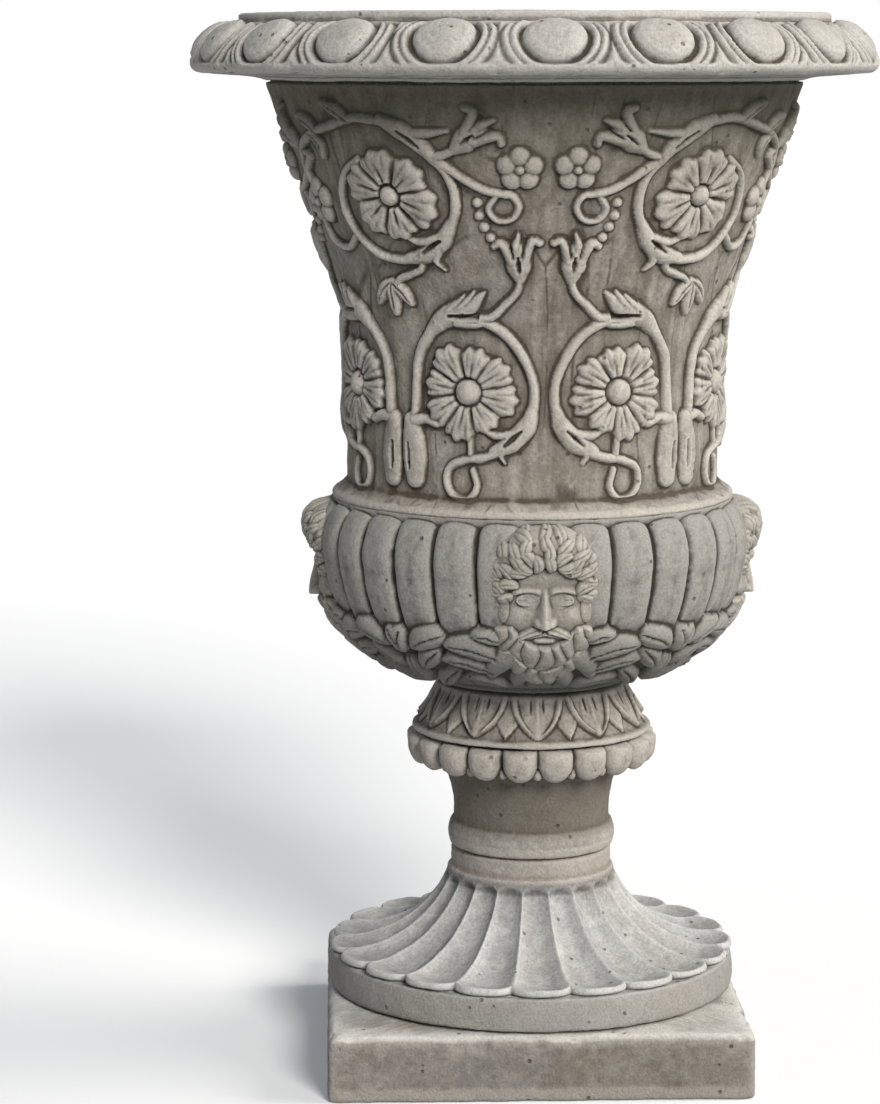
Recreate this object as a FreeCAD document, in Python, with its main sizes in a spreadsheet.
"""Cast stone campana urn on a square plinth, stacked from separate pieces on a drain pipe."""
import FreeCAD
import Part
import math
import os
import re
import Sketcher

SIZES = {
    "plinth_side": 380,
    "plinth_height": 60,
    "plinth_edge_round": 11,
    "bed_thickness": 2,
    "bed_inset": 4,
    "bed_clearance": 0.6,
    "pipe_radius": 22,
    "pipe_wall": 4,
    "pipe_clearance": 0.5,
    "pipe_top_drop": 1,
    "foot_height": 128,
    "foot_disc_radius": 188,
    "foot_disc_taper": 2,
    "foot_disc_height": 30,
    "foot_lip_radius": 185,
    "foot_lip_undercut": 6,
    "foot_lip_edge": 3,
    "foot_lip_thickness": 9,
    "foot_flare_height": 105,
    "foot_neck_radius": 77,
    "foot_collar_radius": 74,
    "foot_collar_bead": 5,
    "flute_count": 21,
    "flute_depth": 7,
    "flute_notch_radius": 9,
    "flute_notch_inset": 5,
    "stem_height": 154,
    "stem_ring_radius": 75,
    "stem_ring_height": 22,
    "stem_ring_fillet": 2,
    "stem_neck_radius": 73,
    "stem_neck_top_radius": 83,
    "stem_neck_height": 78,
    "knop_radius": 104,
    "knop_undercut": 5,
    "knop_height": 31,
    "bead_count": 20,
    "bead_radius": 15.5,
    "bead_half_height": 17,
    "bead_reach": 117,
    "bead_centre_height": 94,
    "leaf_count": 11,
    "leaf_collar_radius": 111,
    "leaf_collar_top_radius": 81,
    "leaf_rise": 5,
    "bowl_height": 170,
    "bowl_ring_radius": 86,
    "bowl_ring_height": 6,
    "bowl_radius": 198,
    "bowl_belly_height": 118,
    "bowl_shoulder_radius": 181,
    "bowl_floor_height": 34,
    "bowl_floor_radius": 62,
    "bowl_well_height": 102,
    "gadroon_count": 30,
    "gadroon_groove_width": 22,
    "gadroon_groove_depth": 8,
    "gadroon_groove_over": 4,
    "gadroon_foot_radius": 164,
    "gadroon_foot_height": 44,
    "garland_leaf_count": 20,
    "garland_leaf_rise": 5,
    "mask_count": 4,
    "mask_width": 94,
    "mask_depth": 22,
    "mask_niche_depth": 13,
    "mask_niche_angle": 31,
    "mask_niche_foot_radius": 153,
    "mask_niche_foot_height": 31,
    "mask_niche_reach": 240,
    "mask_clearance": 0.3,
    "mask_sink": 9,
    "mask_nose_rise": 9,
    "mask_eye_width": 19,
    "mask_eye_height": 13,
    "mask_eye_depth": 8,
    "mask_eye_spread": 38,
    "bell_height": 374,
    "bell_foot_radius": 180,
    "bell_foot_height": 14,
    "bell_fillet_radius": 173,
    "bell_fillet_height": 18,
    "bell_waist_radius": 169,
    "bell_waist_start": 28,
    "bell_waist_height": 108,
    "bell_knee_radius": 190,
    "bell_knee_height": 226,
    "bell_top_radius": 242,
    "bell_wall": 33,
    "frieze_rise": 6,
    "frieze_sink": 18,
    "frieze_depth": 60,
    "frieze_reach": 270,
    "scroll_count": 8,
    "scroll_turn": 22.5,
    "scroll_height": 111,
    "scroll_across": 56,
    "scroll_up": 61,
    "scroll_width": 9,
    "flower_height": 109,
    "flower_radius": 40,
    "cup_count": 4,
    "cup_turn": 45,
    "cup_height": 55,
    "cup_width": 56,
    "cup_length": 56,
    "upper_turn": 51,
    "upper_count": 2,
    "upper_scroll_height": 270,
    "upper_scroll_across": 60,
    "upper_scroll_up": 46,
    "upper_flower_height": 280,
    "upper_flower_radius": 42,
    "spigot_height": 9,
    "spigot_width": 14,
    "spigot_clearance": 0.6,
    "rim_height": 59,
    "rim_radius": 310,
    "rim_root_radius": 251,
    "rim_root_height": 3,
    "rim_soffit_radius": 301,
    "rim_soffit_height": 9,
    "rim_edge_height": 18,
    "rim_ovolo_top_radius": 270,
    "rim_lip_radius": 266,
    "rim_lip_height": 9,
    "rim_mouth_radius": 228,
    "egg_count": 20,
    "egg_half_width": 27,
    "egg_half_height": 21,
    "egg_rise": 9,
    "egg_cup_margin": 7,
    "egg_cup_depth": 6,
    "dart_width": 16,
    "dart_rise": 4,
    "dart_sink": 4,
}

# Rise of each arc, as a share of its chord.
BELL_FLARE_BULGE_SHARE = 0.043
BELL_FOOT_BULGE_SHARE = 0.1
BELL_FILLET_BULGE_SHARE = 0.2
BOWL_RING_BULGE_SHARE = 0.45
BOWL_BELLY_BULGE_SHARE = 0.179
BOWL_SHOULDER_BULGE_SHARE = 0.131
BOWL_WELL_BULGE_SHARE = 0.2
GROOVE_PATH_BULGE_SHARE = 0.084
GADROON_BULGE_SHARE = 0.12
NICHE_BULGE_SHARE = 0.08
FOOT_DISC_BULGE_SHARE = 0.06
FOOT_LIP_BULGE_SHARE = 0.2
FOOT_FLARE_BULGE_SHARE = 0.16
FOOT_COLLAR_BULGE_SHARE = 0.3
STEM_RING_BULGE_SHARE = 0.12
STEM_NECK_BULGE_SHARE = 0.07
KNOP_BULGE_SHARE = 0.1
LEAF_COLLAR_BULGE_SHARE = 0.03
RIM_EDGE_BULGE_SHARE = 0.15
OVOLO_BULGE_SHARE = 0.13

# Flute levels: way out from neck to lip, way up the flare, tilt in right angles, width of the pitch, depth.
FLUTE_LEVEL_SHARES = [
    (0, 1, 0, 0.8, 0.5),
    (0.36, 0.36, 0.6, 0.9, 0.9),
    (1.065, 0.117, 1, 0.95, 0.8),
]
FLUTE_OVER_SHARE = 0.75

# Leaf levels: way down the collar, width of the pitch, rise.
LEAF_LEVEL_SHARES = [
    (0.04, 0.72, 0.5),
    (0.45, 0.9, 0.9),
    (0.8, 0.74, 1.1),
    (1.08, 0.2, 0.9),
]

# Garland leaf levels: height and radius in the bowl, width of the pitch, rise.
GARLAND_LEVEL_SHARES = [
    (0.065, 0.567, 0.5, 0.6),
    (0.13, 0.687, 0.8, 1),
    (0.2, 0.773, 0.7, 1),
    (0.27, 0.838, 0.2, 0.5),
]

# Mask levels: height and seat radius in the bowl, width, depth.
MASK_LEVEL_SHARES = [
    (0.205, 0.84, 0.4, 0.4),
    (0.3, 0.92, 0.72, 0.72),
    (0.437, 0.98, 0.88, 0.86),
    (0.576, 0.995, 0.94, 0.82),
    (0.716, 1, 0.94, 0.7),
    (0.8, 0.99, 0.96, 0.95),
    (0.89, 0.97, 0.94, 1.35),
    (0.985, 0.95, 0.72, 1.15),
]

# Nose levels: height and seat radius in the bowl, width and depth of the mask, rise.
NOSE_LEVEL_SHARES = [
    (0.558, 0.99, 0.2, 0.8, 0.4),
    (0.59, 0.995, 0.24, 0.8, 1),
    (0.669, 1, 0.15, 0.72, 0.6),
    (0.762, 0.995, 0.12, 0.8, 0.2),
]
MASK_EYE_HEIGHT_SHARE = 0.702
MASK_TOP_SHARE = 1.3

# Frieze scroll: outer run of an open ring as height and breadth, and the rise of the arc that follows.
SCROLL_OUTLINE_SHARES = [
    (-0.574, -0.819, 0.077),
    (0, -1, 0.207),
    (1, 0, 0.207),
    (0, 1, 0.077),
    (-0.574, 0.819, 0),
]
FRIEZE_TILT_SHARE = 1
UPPER_FRIEZE_TILT_SHARE = 0.785
QUARTER_ROUND_SHARE = 0.2071
CUP_BOTTOM_SHARE = 0.3
CUP_BULGE_SHARE = 0.2
CUP_TOP_SHARE = 0.34

# Dart levels: way up the rim's round, width, rise.
DART_LEVEL_SHARES = [
    (0.04, 0.3, 0.5),
    (0.5, 0.7, 1),
    (0.92, 1, 0.7),
]

doc = FreeCAD.newDocument("campana_urn")
sheet = doc.addObject("Spreadsheet::Sheet", "Sizes")
for row, (alias, number) in enumerate(SIZES.items(), 1):
    sheet.set(f"A{row}", alias)
    sheet.set(f"B{row}", str(number))
    sheet.setAlias(f"B{row}", alias)
doc.recompute()


def bound(text):
    """Expression text with every size name pointed at the sheet."""
    def point(word):
        return f"Sizes.{word.group()}" if word.group() in SIZES else word.group()
    return re.sub(r"[a-z_]+", point, str(text))


def value(text):
    """Number that a size expression comes to."""
    return float(sheet.evalExpression(bound(text)))


def bind(item, **expressions):
    """Tie properties of an object to size expressions, with a double underscore for each dot."""
    for name, text in expressions.items():
        item.setExpression(name.replace("__", "."), bound(text))


def new_body(label, height="0", turn="0"):
    """Body with its own label, lifted to a height and turned about the upright axis."""
    body = doc.addObject("PartDesign::Body", label)
    body.Label = label
    body.Placement = FreeCAD.Placement(
        FreeCAD.Vector(0, 0, value(height)),
        FreeCAD.Rotation(FreeCAD.Vector(0, 0, 1), value(turn)),
    )
    bind(body, Placement__Base__z=height, Placement__Rotation__Angle=turn)
    return body


def datum(body, role):
    """Origin plane or axis of a body."""
    return next(item for item in body.Origin.OriginFeatures if item.Role == role)


def add_dimension(sketch, kind, places, text):
    """Dimension a sketch with a size expression."""
    index = sketch.addConstraint(Sketcher.Constraint(kind, *places, value(text)))
    sketch.setExpression(f"Constraints[{index}]", bound(text))


def outline(body, name, plane, points, closed=True):
    """Outline of lines and arcs. Each point is (across, up, bulge): the bulge is the rise of the arc
    that leaves the point, as a share of its chord, and is positive to the right of the way it runs."""
    sketch = body.newObject("Sketcher::SketchObject", name)
    sketch.AttachmentSupport = [(datum(body, plane), "")]
    sketch.MapMode = "FlatFace"
    spots = [FreeCAD.Vector(value(across), value(up), 0) for across, up, bulge in points]
    strokes = list(zip(range(len(points)), list(range(1, len(points))) + [0]))
    if not closed:
        strokes.pop()
    ends = {}
    for index, following in strokes:
        start = spots[index]
        after = spots[following]
        bulge = points[index][2]
        if not bulge:
            sketch.addGeometry(Part.LineSegment(start, after))
            ends[index] = (1, 2)
            continue
        run = after - start
        middle = (start + after) * 0.5 + FreeCAD.Vector(run.y, -run.x, 0) * bulge
        sketch.addGeometry(Part.Arc(start, middle, after))
        runs_on = sketch.getPoint(index, 1).distanceToPoint(start) < run.Length / 2
        ends[index] = (1, 2) if runs_on else (2, 1)
    for index, following in strokes:
        if following in ends:
            places = (index, ends[index][1], following, ends[following][0])
            sketch.addConstraint(Sketcher.Constraint("Coincident", *places))
    for index, following in strokes:
        across, up, bulge = points[index]
        next_across, next_up, next_bulge = points[following]
        add_dimension(sketch, "DistanceX", (-1, 1, index, ends[index][0]), across)
        add_dimension(sketch, "DistanceY", (-1, 1, index, ends[index][0]), up)
        if following not in ends:
            add_dimension(sketch, "DistanceX", (-1, 1, index, ends[index][1]), next_across)
            add_dimension(sketch, "DistanceY", (-1, 1, index, ends[index][1]), next_up)
        if bulge:
            share = abs(bulge)
            chord = f"sqrt(({next_across} - ({across}))^2 + ({next_up} - ({up}))^2)"
            add_dimension(sketch, "Radius", (index,), f"{chord} * (1 / (8 * {share}) + {share} / 2)")
    return sketch


def revolve(body, name, points, kind="PartDesign::Revolution"):
    """Turn a closed outline of (radius, height, bulge) points about the upright axis."""
    sketch = outline(body, f"{name}_outline", "XZ_Plane", points)
    feature = body.newObject(kind, name)
    feature.Profile = sketch
    feature.ReferenceAxis = (sketch, ["V_Axis"])
    feature.Angle = 360
    body.Tip = feature
    doc.recompute()
    return feature


def level(body, name, radius, height, tilt_share, points, spin="0"):
    """Outline across the piece at a radius and height, tilted by a share of a right angle and
    spun about the upright axis."""
    sketch = outline(body, name, "XY_Plane", points)
    across = f"({radius}) * cos({spin})"
    along = f"({radius}) * sin({spin})"
    lean = FreeCAD.Rotation(FreeCAD.Vector(0, 1, 0), -90 * tilt_share)
    turn = FreeCAD.Rotation(FreeCAD.Vector(0, 0, 1), value(spin))
    place = FreeCAD.Vector(value(across), value(along), value(height))
    sketch.AttachmentOffset = FreeCAD.Placement(place, turn * lean)
    bind(
        sketch,
        AttachmentOffset__Base__x=across,
        AttachmentOffset__Base__y=along,
        AttachmentOffset__Base__z=height,
    )
    return sketch


def swell(body, name, radius, height, tilt_share, width, rise, sink, spin="0"):
    """Level with a flat back sunk in the surface and a rounded front that stands out of it."""
    share = value(f"({rise} + {sink}) / ({width})")
    points = [(f"-({sink})", f"-({width}) / 2", share), (f"-({sink})", f"({width}) / 2", 0)]
    return level(body, name, radius, height, tilt_share, points, spin)


def hollow(body, name, radius, height, tilt_share, width, depth, over):
    """Level with a flat back clear of the surface and a rounded front that dips into it."""
    share = value(f"({depth} + {over}) / ({width})")
    points = [(over, f"({width}) / 2", share), (over, f"-({width}) / 2", 0)]
    return level(body, name, radius, height, tilt_share, points)


def loft(body, name, levels, kind="PartDesign::AdditiveLoft"):
    """Skin through a run of levels."""
    feature = body.newObject(kind, name)
    feature.Profile = levels[0]
    feature.Sections = levels[1:]
    body.Tip = feature
    doc.recompute()
    return feature


def repeat(body, name, features, count):
    """Repeat features evenly about the upright axis."""
    pattern = body.newObject("PartDesign::PolarPattern", name)
    pattern.Originals = features
    pattern.Axis = (datum(body, "Z_Axis"), [""])
    pattern.Angle = 360
    bind(pattern, Occurrences=count)
    body.Tip = pattern
    doc.recompute()
    return pattern


def ellipsoid(body, name, kind, place, half_sizes, tilt=0):
    """Ellipsoid with half sizes along its own x, y and z, tilted about the y axis."""
    feature = body.newObject(kind, name)
    turn = FreeCAD.Rotation(FreeCAD.Vector(0, 1, 0), tilt)
    feature.Placement = FreeCAD.Placement(FreeCAD.Vector(*[value(text) for text in place]), turn)
    bind(
        feature,
        Placement__Base__x=place[0],
        Placement__Base__y=place[1],
        Placement__Base__z=place[2],
        Radius2=half_sizes[0],
        Radius3=half_sizes[1],
        Radius1=half_sizes[2],
    )
    body.Tip = feature
    doc.recompute()
    return feature


FOOT_BASE = "plinth_height + bed_thickness"
STEM_BASE = f"{FOOT_BASE} + foot_height + bed_thickness"
BOWL_BASE = f"{STEM_BASE} + stem_height + bed_thickness"
BELL_BASE = f"{BOWL_BASE} + bowl_height + bed_thickness"
RIM_BASE = f"{BELL_BASE} + bell_height + bed_thickness"
PIPE_BORE = "pipe_radius - pipe_wall"
PIPE_HOLE = "pipe_radius + pipe_clearance"
BELL_BORE = "bell_waist_radius - bell_wall"
BELL_TOP_BORE = "bell_top_radius - bell_wall"
LOWER_SPIGOT = f"{BELL_BORE} + spigot_width"
UPPER_SPIGOT = f"{BELL_TOP_BORE} + spigot_width"


def make_plinth():
    body = new_body("plinth")
    sketch = outline(body, "plinth_plan", "XY_Plane", [
        ("-plinth_side / 2", "-plinth_side / 2", 0),
        ("plinth_side / 2", "-plinth_side / 2", 0),
        ("plinth_side / 2", "plinth_side / 2", 0),
        ("-plinth_side / 2", "plinth_side / 2", 0),
    ])
    pad = body.newObject("PartDesign::Pad", "plinth_slab")
    pad.Profile = sketch
    bind(pad, Length="plinth_height")
    body.Tip = pad
    doc.recompute()
    top = value("plinth_height")
    edges = []
    for index, edge in enumerate(pad.Shape.Edges, 1):
        heights = [vertex.Z for vertex in edge.Vertexes]
        if max(heights) > top / 2:
            edges.append(f"Edge{index}")
    rounding = body.newObject("PartDesign::Fillet", "plinth_worn_edges")
    rounding.Base = (pad, edges)
    bind(rounding, Radius="plinth_edge_round")
    body.Tip = rounding
    doc.recompute()
    drain = body.newObject("PartDesign::SubtractiveCylinder", "plinth_drain")
    bind(drain, Radius=PIPE_BORE, Height="plinth_height")
    body.Tip = drain
    doc.recompute()
    return body


def make_foot():
    body = new_body("fluted_foot", FOOT_BASE, "-90 - 180 / flute_count")
    revolve(body, "foot_turning", [
        (PIPE_HOLE, "0", 0),
        ("foot_disc_radius", "0", FOOT_DISC_BULGE_SHARE),
        ("foot_disc_radius - foot_disc_taper", "foot_disc_height", 0),
        ("foot_lip_radius - foot_lip_undercut", "foot_disc_height", 0),
        ("foot_lip_radius", "foot_disc_height + foot_lip_edge", FOOT_LIP_BULGE_SHARE),
        ("foot_lip_radius - foot_lip_edge", "foot_disc_height + foot_lip_thickness",
         -FOOT_FLARE_BULGE_SHARE),
        ("foot_neck_radius", "foot_flare_height", FOOT_COLLAR_BULGE_SHARE),
        ("foot_collar_radius", "foot_flare_height + foot_collar_bead", 0),
        ("foot_collar_radius", "foot_height", 0),
        (PIPE_HOLE, "foot_height", 0),
    ])
    levels = []
    over = f"flute_depth * {FLUTE_OVER_SHARE}"
    for index, (out_share, up_share, tilt_share, width_share, depth_share) in enumerate(FLUTE_LEVEL_SHARES):
        radius = f"(foot_neck_radius + (foot_lip_radius - foot_neck_radius) * {out_share})"
        height = f"foot_disc_height + (foot_flare_height - foot_disc_height) * {up_share}"
        width = f"{radius} * 2 * pi / flute_count * {width_share}"
        depth = f"flute_depth * {depth_share}"
        levels.append(hollow(body, f"flute_level_{index}", radius, height, tilt_share, width, depth, over))
    flute = loft(body, "flute", levels, "PartDesign::SubtractiveLoft")
    repeat(body, "flutes", [flute], "flute_count")
    notch = body.newObject("PartDesign::SubtractiveCylinder", "scallop_notch")
    reach = "(foot_lip_radius + flute_notch_radius - flute_notch_inset)"
    bind(
        notch,
        Radius="flute_notch_radius",
        Height="foot_flare_height - foot_disc_height",
        Placement__Base__x=f"{reach} * cos(180 / flute_count)",
        Placement__Base__y=f"{reach} * sin(180 / flute_count)",
        Placement__Base__z="foot_disc_height",
    )
    body.Tip = notch
    doc.recompute()
    repeat(body, "scallops", [notch], "flute_count")
    return body


def make_stem():
    body = new_body("stem", STEM_BASE)
    knop_top = "stem_neck_height + knop_height"
    revolve(body, "stem_turning", [
        (PIPE_HOLE, "0", 0),
        ("stem_ring_radius", "0", STEM_RING_BULGE_SHARE),
        ("stem_ring_radius", "stem_ring_height", 0),
        ("stem_neck_radius", "stem_ring_height + stem_ring_fillet", -STEM_NECK_BULGE_SHARE),
        ("stem_neck_top_radius", "stem_neck_height", 0),
        ("knop_radius - knop_undercut", "stem_neck_height + stem_ring_fillet", KNOP_BULGE_SHARE),
        ("knop_radius", knop_top, 0),
        ("leaf_collar_radius", knop_top, -LEAF_COLLAR_BULGE_SHARE),
        ("leaf_collar_top_radius", "stem_height", 0),
        (PIPE_HOLE, "stem_height", 0),
    ])
    bead = ellipsoid(
        body, "bead", "PartDesign::AdditiveEllipsoid",
        ("(bead_reach - bead_radius) * cos(180 / bead_count)",
         "(bead_reach - bead_radius) * sin(180 / bead_count)",
         "bead_centre_height"),
        ("bead_radius", "bead_radius", "bead_half_height"),
    )
    repeat(body, "beads", [bead], "bead_count")
    levels = []
    for index, (down_share, width_share, rise_share) in enumerate(LEAF_LEVEL_SHARES):
        radius = f"(leaf_collar_top_radius + (leaf_collar_radius - leaf_collar_top_radius) * {down_share})"
        height = f"stem_height - (stem_height - ({knop_top})) * {down_share}"
        width = f"{radius} * 2 * pi / leaf_count * {width_share}"
        rise = f"leaf_rise * {rise_share}"
        levels.append(swell(body, f"leaf_level_{index}", radius, height, 0, width, rise, "leaf_rise"))
    leaf = loft(body, "leaf", levels)
    repeat(body, "leaves", [leaf], "leaf_count")
    return body


def niche_wall(gap):
    """Back of a mask's niche from its foot to the top of the bowl, moved out by a gap."""
    return [
        (f"mask_niche_foot_radius + {gap}", "mask_niche_foot_height", NICHE_BULGE_SHARE),
        (f"bowl_radius - mask_niche_depth + {gap}", "bowl_belly_height", NICHE_BULGE_SHARE),
        (f"bowl_shoulder_radius - mask_niche_depth + {gap}", "bowl_height", 0),
    ]


def make_bowl():
    body = new_body("bowl", BOWL_BASE)
    ledge = "bowl_height - spigot_height - bed_thickness"
    seat = f"{LOWER_SPIGOT} + spigot_clearance"
    revolve(body, "bowl_turning", [
        (PIPE_HOLE, "0", 0),
        ("bowl_ring_radius", "0", BOWL_RING_BULGE_SHARE),
        ("bowl_ring_radius", "bowl_ring_height", BOWL_BELLY_BULGE_SHARE),
        ("bowl_radius", "bowl_belly_height", BOWL_SHOULDER_BULGE_SHARE),
        ("bowl_shoulder_radius", "bowl_height", 0),
        (seat, "bowl_height", 0),
        (seat, ledge, 0),
        (BELL_BORE, ledge, 0),
        (BELL_BORE, "bowl_well_height", -BOWL_WELL_BULGE_SHARE),
        ("bowl_floor_radius", "bowl_floor_height", 0),
        (PIPE_HOLE, "bowl_floor_height", 0),
    ])
    levels = []
    for index, (up_share, out_share, width_share, rise_share) in enumerate(GARLAND_LEVEL_SHARES):
        radius = f"bowl_radius * {out_share}"
        height = f"bowl_height * {up_share}"
        width = f"{radius} * 2 * pi / garland_leaf_count * {width_share}"
        rise = f"garland_leaf_rise * {rise_share}"
        name = f"garland_level_{index}"
        levels.append(swell(body, name, radius, height, 0, width, rise, "garland_leaf_rise"))
    leaf = loft(body, "garland_leaf", levels)
    repeat(body, "garland", [leaf], "garland_leaf_count")
    niche = revolve(body, "mask_niche", [
        *niche_wall("0"),
        ("mask_niche_reach", "bowl_height", 0),
        ("mask_niche_reach", "mask_niche_foot_height", 0),
    ], "PartDesign::Groove")
    niche.Midplane = True
    bind(niche, Angle="mask_niche_angle")
    doc.recompute()
    repeat(body, "mask_niches", [niche], "mask_count")
    path = outline(body, "groove_path", "XZ_Plane", [
        ("bowl_shoulder_radius", "bowl_height", -BOWL_SHOULDER_BULGE_SHARE),
        ("bowl_radius", "bowl_belly_height", -GROOVE_PATH_BULGE_SHARE),
        ("gadroon_foot_radius", "gadroon_foot_height", 0),
    ], closed=False)
    section = level(body, "groove_section", "bowl_shoulder_radius", "bowl_height", 0, [
        ("gadroon_groove_over", "-gadroon_groove_width / 2", 0),
        ("gadroon_groove_over", "gadroon_groove_width / 2", -GADROON_BULGE_SHARE),
        ("-gadroon_groove_depth", "0", -GADROON_BULGE_SHARE),
    ])
    groove = body.newObject("PartDesign::SubtractivePipe", "gadroon_groove")
    groove.Profile = section
    groove.Spine = path
    body.Tip = groove
    doc.recompute()
    repeat(body, "gadroon_grooves", [groove], "gadroon_count")
    return body


def make_mask(label, turn):
    body = new_body(label, BOWL_BASE, turn)
    levels = []
    for index, (up_share, seat_share, width_share, depth_share) in enumerate(MASK_LEVEL_SHARES):
        radius = f"bowl_radius * {seat_share} - mask_niche_depth"
        height = f"bowl_height * {up_share}"
        width = f"mask_width * {width_share}"
        rise = f"mask_depth * {depth_share}"
        levels.append(swell(body, f"{label}_level_{index}", radius, height, 0, width, rise, "mask_sink"))
    loft(body, f"{label}_head", levels)
    levels = []
    for index, (up_share, seat_share, width_share, depth_share, rise_share) in enumerate(NOSE_LEVEL_SHARES):
        radius = f"bowl_radius * {seat_share} - mask_niche_depth + mask_depth * {depth_share}"
        height = f"bowl_height * {up_share}"
        width = f"mask_width * {width_share}"
        rise = f"mask_nose_rise * {rise_share}"
        levels.append(swell(body, f"{label}_nose_{index}", radius, height, 0, width, rise, "mask_nose_rise"))
    loft(body, f"{label}_nose", levels)
    for name, side in (("left", -1), ("right", 1)):
        ellipsoid(
            body, f"{label}_{name}_eye", "PartDesign::SubtractiveEllipsoid",
            ("bowl_radius - mask_niche_depth + mask_depth - mask_eye_depth / 2",
             f"mask_eye_spread / 2 * {side}", f"bowl_height * {MASK_EYE_HEIGHT_SHARE}"),
            ("mask_eye_depth", "mask_eye_width / 2", "mask_eye_height / 2"),
        )
    above = f"bowl_height * {MASK_TOP_SHARE}"
    neck = f"bell_foot_radius + bell_foot_height * {BELL_FOOT_BULGE_SHARE} + mask_clearance"
    revolve(body, f"{label}_seat", [
        ("0", "bowl_ring_height", 0),
        ("mask_niche_foot_radius + mask_clearance", "bowl_ring_height", 0),
        *niche_wall("mask_clearance"),
        (neck, "bowl_height", 0),
        (neck, above, 0),
        ("0", above, 0),
    ], "PartDesign::Groove")
    return body


def open_ring(across, up, way):
    """Outline of an open ring as wide as a scroll, with its gap down or, the other way, up."""
    runs = [(f"({across} {sign} scroll_width / 2)", f"({up} {sign} scroll_width / 2)") for sign in "+-"]
    points = []
    for up_share, across_share, bulge_share in SCROLL_OUTLINE_SHARES:
        breadth, rise = runs[0]
        points.append((f"{rise} * {up_share * way}", f"{breadth} * {across_share}", bulge_share * way))
    back = SCROLL_OUTLINE_SHARES[::-1]
    for index, (up_share, across_share, bulge_share) in enumerate(back):
        breadth, rise = runs[1]
        following = back[index + 1][2] if index + 1 < len(back) else 0
        points.append((f"{rise} * {up_share * way}", f"{breadth} * {across_share}", -following * way))
    return points


def disc(radius):
    """Round outline of four quarter circles."""
    corners = [(f"-{radius}", "0"), ("0", f"-{radius}"), (radius, "0"), ("0", radius)]
    return [(up, across, QUARTER_ROUND_SHARE) for up, across in corners]


def raise_motif(body, name, radius, height, tilt_share, points, turn):
    """Frieze motif padded outwards from a plane inside the wall."""
    sketch = level(body, f"{name}_outline", f"{radius} - frieze_sink", height, tilt_share, points, turn)
    pad = body.newObject("PartDesign::Pad", name)
    pad.Profile = sketch
    pad.Reversed = True
    bind(pad, Length="frieze_depth")
    body.Tip = pad
    doc.recompute()
    return pad


def carve_frieze(body):
    """Main motifs of the frieze, trimmed to stand out of the wall by an even rise."""
    scroll = raise_motif(
        body, "scroll", "bell_waist_radius", "scroll_height", FRIEZE_TILT_SHARE,
        open_ring("scroll_across", "scroll_up", 1), "scroll_turn",
    )
    repeat(body, "scrolls", [scroll], "scroll_count")
    flower = raise_motif(
        body, "flower", "bell_waist_radius", "flower_height", FRIEZE_TILT_SHARE,
        disc("flower_radius"), "scroll_turn",
    )
    repeat(body, "flowers", [flower], "scroll_count")
    cup = raise_motif(body, "cup", "bell_waist_radius", "cup_height", FRIEZE_TILT_SHARE, [
        (f"-cup_length * {CUP_BOTTOM_SHARE}", "-cup_width / 2", -CUP_BULGE_SHARE),
        (f"-cup_length * {CUP_BOTTOM_SHARE}", "cup_width / 2", 0),
        ("cup_length / 2", f"cup_width * {CUP_TOP_SHARE}", 0),
        ("cup_length / 2", f"-cup_width * {CUP_TOP_SHARE}", 0),
    ], "cup_turn")
    repeat(body, "cups", [cup], "cup_count")
    slope = "(bell_top_radius - bell_knee_radius) / (bell_height - bell_knee_height)"
    for side, turn in (("right", "upper_turn"), ("left", "-upper_turn")):
        ring_radius = f"bell_knee_radius + (upper_scroll_height - bell_knee_height) * {slope}"
        ring = raise_motif(
            body, f"upper_scroll_{side}", ring_radius, "upper_scroll_height", UPPER_FRIEZE_TILT_SHARE,
            open_ring("upper_scroll_across", "upper_scroll_up", -1), turn,
        )
        repeat(body, f"upper_scrolls_{side}", [ring], "upper_count")
        disc_radius = f"bell_knee_radius + (upper_flower_height - bell_knee_height) * {slope}"
        flower = raise_motif(
            body, f"upper_flower_{side}", disc_radius, "upper_flower_height", UPPER_FRIEZE_TILT_SHARE,
            disc("upper_flower_radius"), turn,
        )
        repeat(body, f"upper_flowers_{side}", [flower], "upper_count")
    revolve(body, "frieze_trim", [
        ("bell_waist_radius + frieze_rise", "bell_fillet_height", 0),
        ("bell_waist_radius + frieze_rise", "bell_waist_height", -BELL_FLARE_BULGE_SHARE),
        ("bell_knee_radius + frieze_rise", "bell_knee_height", 0),
        ("bell_top_radius + frieze_rise", "bell_height", 0),
        ("frieze_reach", "bell_height", 0),
        ("frieze_reach", "bell_fillet_height", 0),
    ], "PartDesign::Groove")


def make_bell():
    body = new_body("bell", BELL_BASE)
    revolve(body, "bell_turning", [
        (BELL_BORE, "-spigot_height", 0),
        (LOWER_SPIGOT, "-spigot_height", 0),
        (LOWER_SPIGOT, "0", 0),
        ("bell_foot_radius", "0", BELL_FOOT_BULGE_SHARE),
        ("bell_foot_radius", "bell_foot_height", 0),
        ("bell_fillet_radius", "bell_fillet_height", -BELL_FILLET_BULGE_SHARE),
        ("bell_waist_radius", "bell_waist_start", 0),
        ("bell_waist_radius", "bell_waist_height", -BELL_FLARE_BULGE_SHARE),
        ("bell_knee_radius", "bell_knee_height", 0),
        ("bell_top_radius", "bell_height", 0),
        (UPPER_SPIGOT, "bell_height", 0),
        (UPPER_SPIGOT, "bell_height + spigot_height", 0),
        (BELL_TOP_BORE, "bell_height + spigot_height", 0),
        (BELL_TOP_BORE, "bell_height", 0),
        ("bell_knee_radius - bell_wall", "bell_knee_height", BELL_FLARE_BULGE_SHARE),
        (BELL_BORE, "bell_waist_height", 0),
    ])
    carve_frieze(body)
    return body


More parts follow.
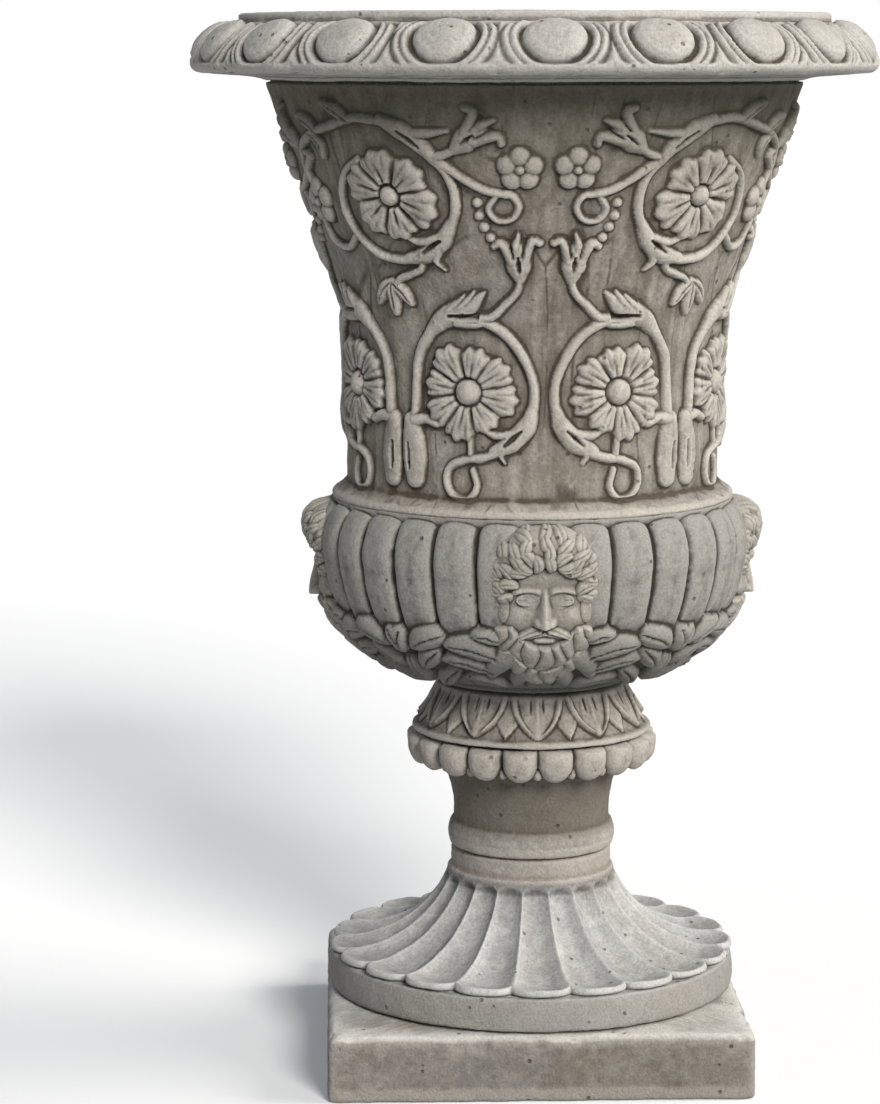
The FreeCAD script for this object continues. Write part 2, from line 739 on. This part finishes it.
def make_rim():
    body = new_body("rim", RIM_BASE)
    seat = f"{UPPER_SPIGOT} + spigot_clearance"
    ledge = "spigot_height - bed_thickness + spigot_clearance"
    shoulder = "rim_height - rim_lip_height"
    revolve(body, "rim_turning", [
        (seat, "0", 0),
        ("bell_top_radius", "0", 0),
        ("rim_root_radius", "rim_root_height", 0),
        ("rim_soffit_radius", "rim_soffit_height", RIM_EDGE_BULGE_SHARE),
        ("rim_radius", "rim_edge_height", OVOLO_BULGE_SHARE),
        ("rim_ovolo_top_radius", shoulder, 0),
        ("rim_lip_radius", shoulder, 0),
        ("rim_lip_radius", "rim_height", 0),
        ("rim_mouth_radius", "rim_height", 0),
        (BELL_TOP_BORE, ledge, 0),
        (seat, ledge, 0),
    ])
    climb = f"({shoulder} - rim_edge_height)"
    reach = "(rim_radius - rim_ovolo_top_radius)"
    lean = math.degrees(math.atan2(value(climb), value(reach)))
    crown = (
        f"rim_radius - {reach} / 2 + {climb} * {OVOLO_BULGE_SHARE}",
        "0",
        f"rim_edge_height + {climb} / 2 + {reach} * {OVOLO_BULGE_SHARE}",
    )
    cup_form = ("egg_half_height + egg_cup_margin", "egg_half_width + egg_cup_margin", "egg_cup_depth")
    cup = ellipsoid(body, "egg_cup", "PartDesign::SubtractiveEllipsoid", crown, cup_form, lean)
    repeat(body, "egg_cups", [cup], "egg_count")
    egg_form = ("egg_half_height", "egg_half_width", "egg_rise")
    egg = ellipsoid(body, "egg", "PartDesign::AdditiveEllipsoid", crown, egg_form, lean)
    repeat(body, "eggs", [egg], "egg_count")
    levels = []
    arch = 4 * OVOLO_BULGE_SHARE
    for index, (up_share, width_share, rise_share) in enumerate(DART_LEVEL_SHARES):
        bow = arch * up_share * (1 - up_share)
        radius = f"rim_radius - {reach} * {up_share} + {climb} * {bow}"
        height = f"rim_edge_height + {climb} * {up_share} + {reach} * {bow}"
        width = f"dart_width * {width_share}"
        rise = f"dart_rise * {rise_share}"
        spin = "180 / egg_count"
        name = f"dart_level_{index}"
        levels.append(swell(body, name, radius, height, up_share, width, rise, "dart_sink", spin))
    dart = loft(body, "dart", levels)
    repeat(body, "darts", [dart], "egg_count")
    return body


def make_tube(label, inner, outer, base, height):
    """Plain tube about the upright axis."""
    solids = []
    for name, radius in (("outside", outer), ("inside", inner)):
        solid = doc.addObject("Part::Cylinder", f"{label}_{name}")
        bind(solid, Radius=radius, Height=height, Placement__Base__z=base)
        solids.append(solid)
    tube = doc.addObject("Part::Cut", label)
    tube.Label = label
    tube.Base = solids[0]
    tube.Tool = solids[1]
    return tube


def make_bed(label, inner, outer, base):
    """Bedding ring that fills the joint on top of a piece."""
    return make_tube(label, f"{inner} + bed_clearance", f"{outer} - bed_inset", base, "bed_thickness")


def export(body):
    """Check a finished piece and write its file."""
    if not body.Shape.isValid() or len(body.Shape.Solids) != 1:
        raise RuntimeError(f"{body.Label} is not one valid solid")
    body.Shape.exportStep(f"parts/{body.Label}.step")
    print(body.Label, round(body.Shape.Volume / 1000), "cm3")


os.makedirs("parts", exist_ok=True)
pieces = [
    make_plinth(),
    make_bed("bed_foot", "pipe_radius", "foot_lip_radius", "plinth_height"),
    make_foot(),
    make_bed("bed_stem", "pipe_radius", "foot_collar_radius", f"{FOOT_BASE} + foot_height"),
    make_stem(),
    make_bed("bed_bowl", "pipe_radius", "leaf_collar_top_radius", f"{STEM_BASE} + stem_height"),
    make_bowl(),
    make_mask("mask_front", "-90"),
    make_mask("mask_right", "0"),
    make_mask("mask_back", "90"),
    make_mask("mask_left", "180"),
    make_bed("bed_bell", LOWER_SPIGOT, "bowl_shoulder_radius - mask_niche_depth",
             f"{BOWL_BASE} + bowl_height"),
    make_bell(),
    make_bed("bed_rim", UPPER_SPIGOT, "bell_top_radius", f"{BELL_BASE} + bell_height"),
    make_rim(),
    make_tube("drain_pipe", PIPE_BORE, "pipe_radius", "plinth_height",
              f"{BOWL_BASE} + bowl_floor_height - pipe_top_drop - plinth_height"),
]
doc.recompute()
for item in doc.Objects:
    if "Invalid" in item.State or "Error" in item.State:
        raise RuntimeError(f"{item.Label} failed to compute")
for piece in pieces:
    export(piece)
